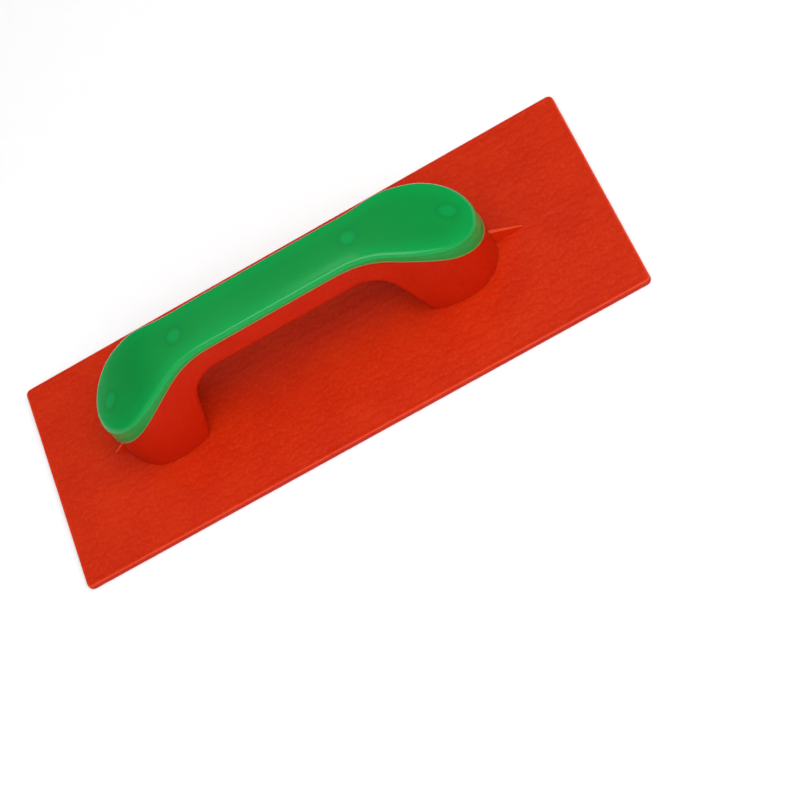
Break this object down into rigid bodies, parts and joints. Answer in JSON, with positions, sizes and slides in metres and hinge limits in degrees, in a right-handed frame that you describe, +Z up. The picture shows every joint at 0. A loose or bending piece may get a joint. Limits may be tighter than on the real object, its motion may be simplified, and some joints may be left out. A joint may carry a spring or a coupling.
{
  "type": "plastering float",
  "caption": "Plastic hand float for plaster and mortar: thin flat rectangular board with a moulded bridge handle and a press-on grip cover.",
  "frame": {"origin": "centre of the board's flat working face, which is the lowest plane of the part", "axes": "+Z up out of the board's top towards the handle, +X along the board's length, +Y across its width"},
  "size_m": [0.27, 0.11, 0.0557],
  "materials": {
    "body_plastic": "orange-red translucent polypropylene, satin, with a dimpled top to the board",
    "cover_plastic": "green polypropylene, satin"
  },
  "bodies": {
    "root": {"board": "body_plastic", "handle_frame": "body_plastic", "toe_gusset": "body_plastic", "heel_gusset": "body_plastic", "frame_pegs": "body_plastic", "grip_cover": "cover_plastic", "cover_sockets": "cover_plastic"}
  },
  "joints": []
}
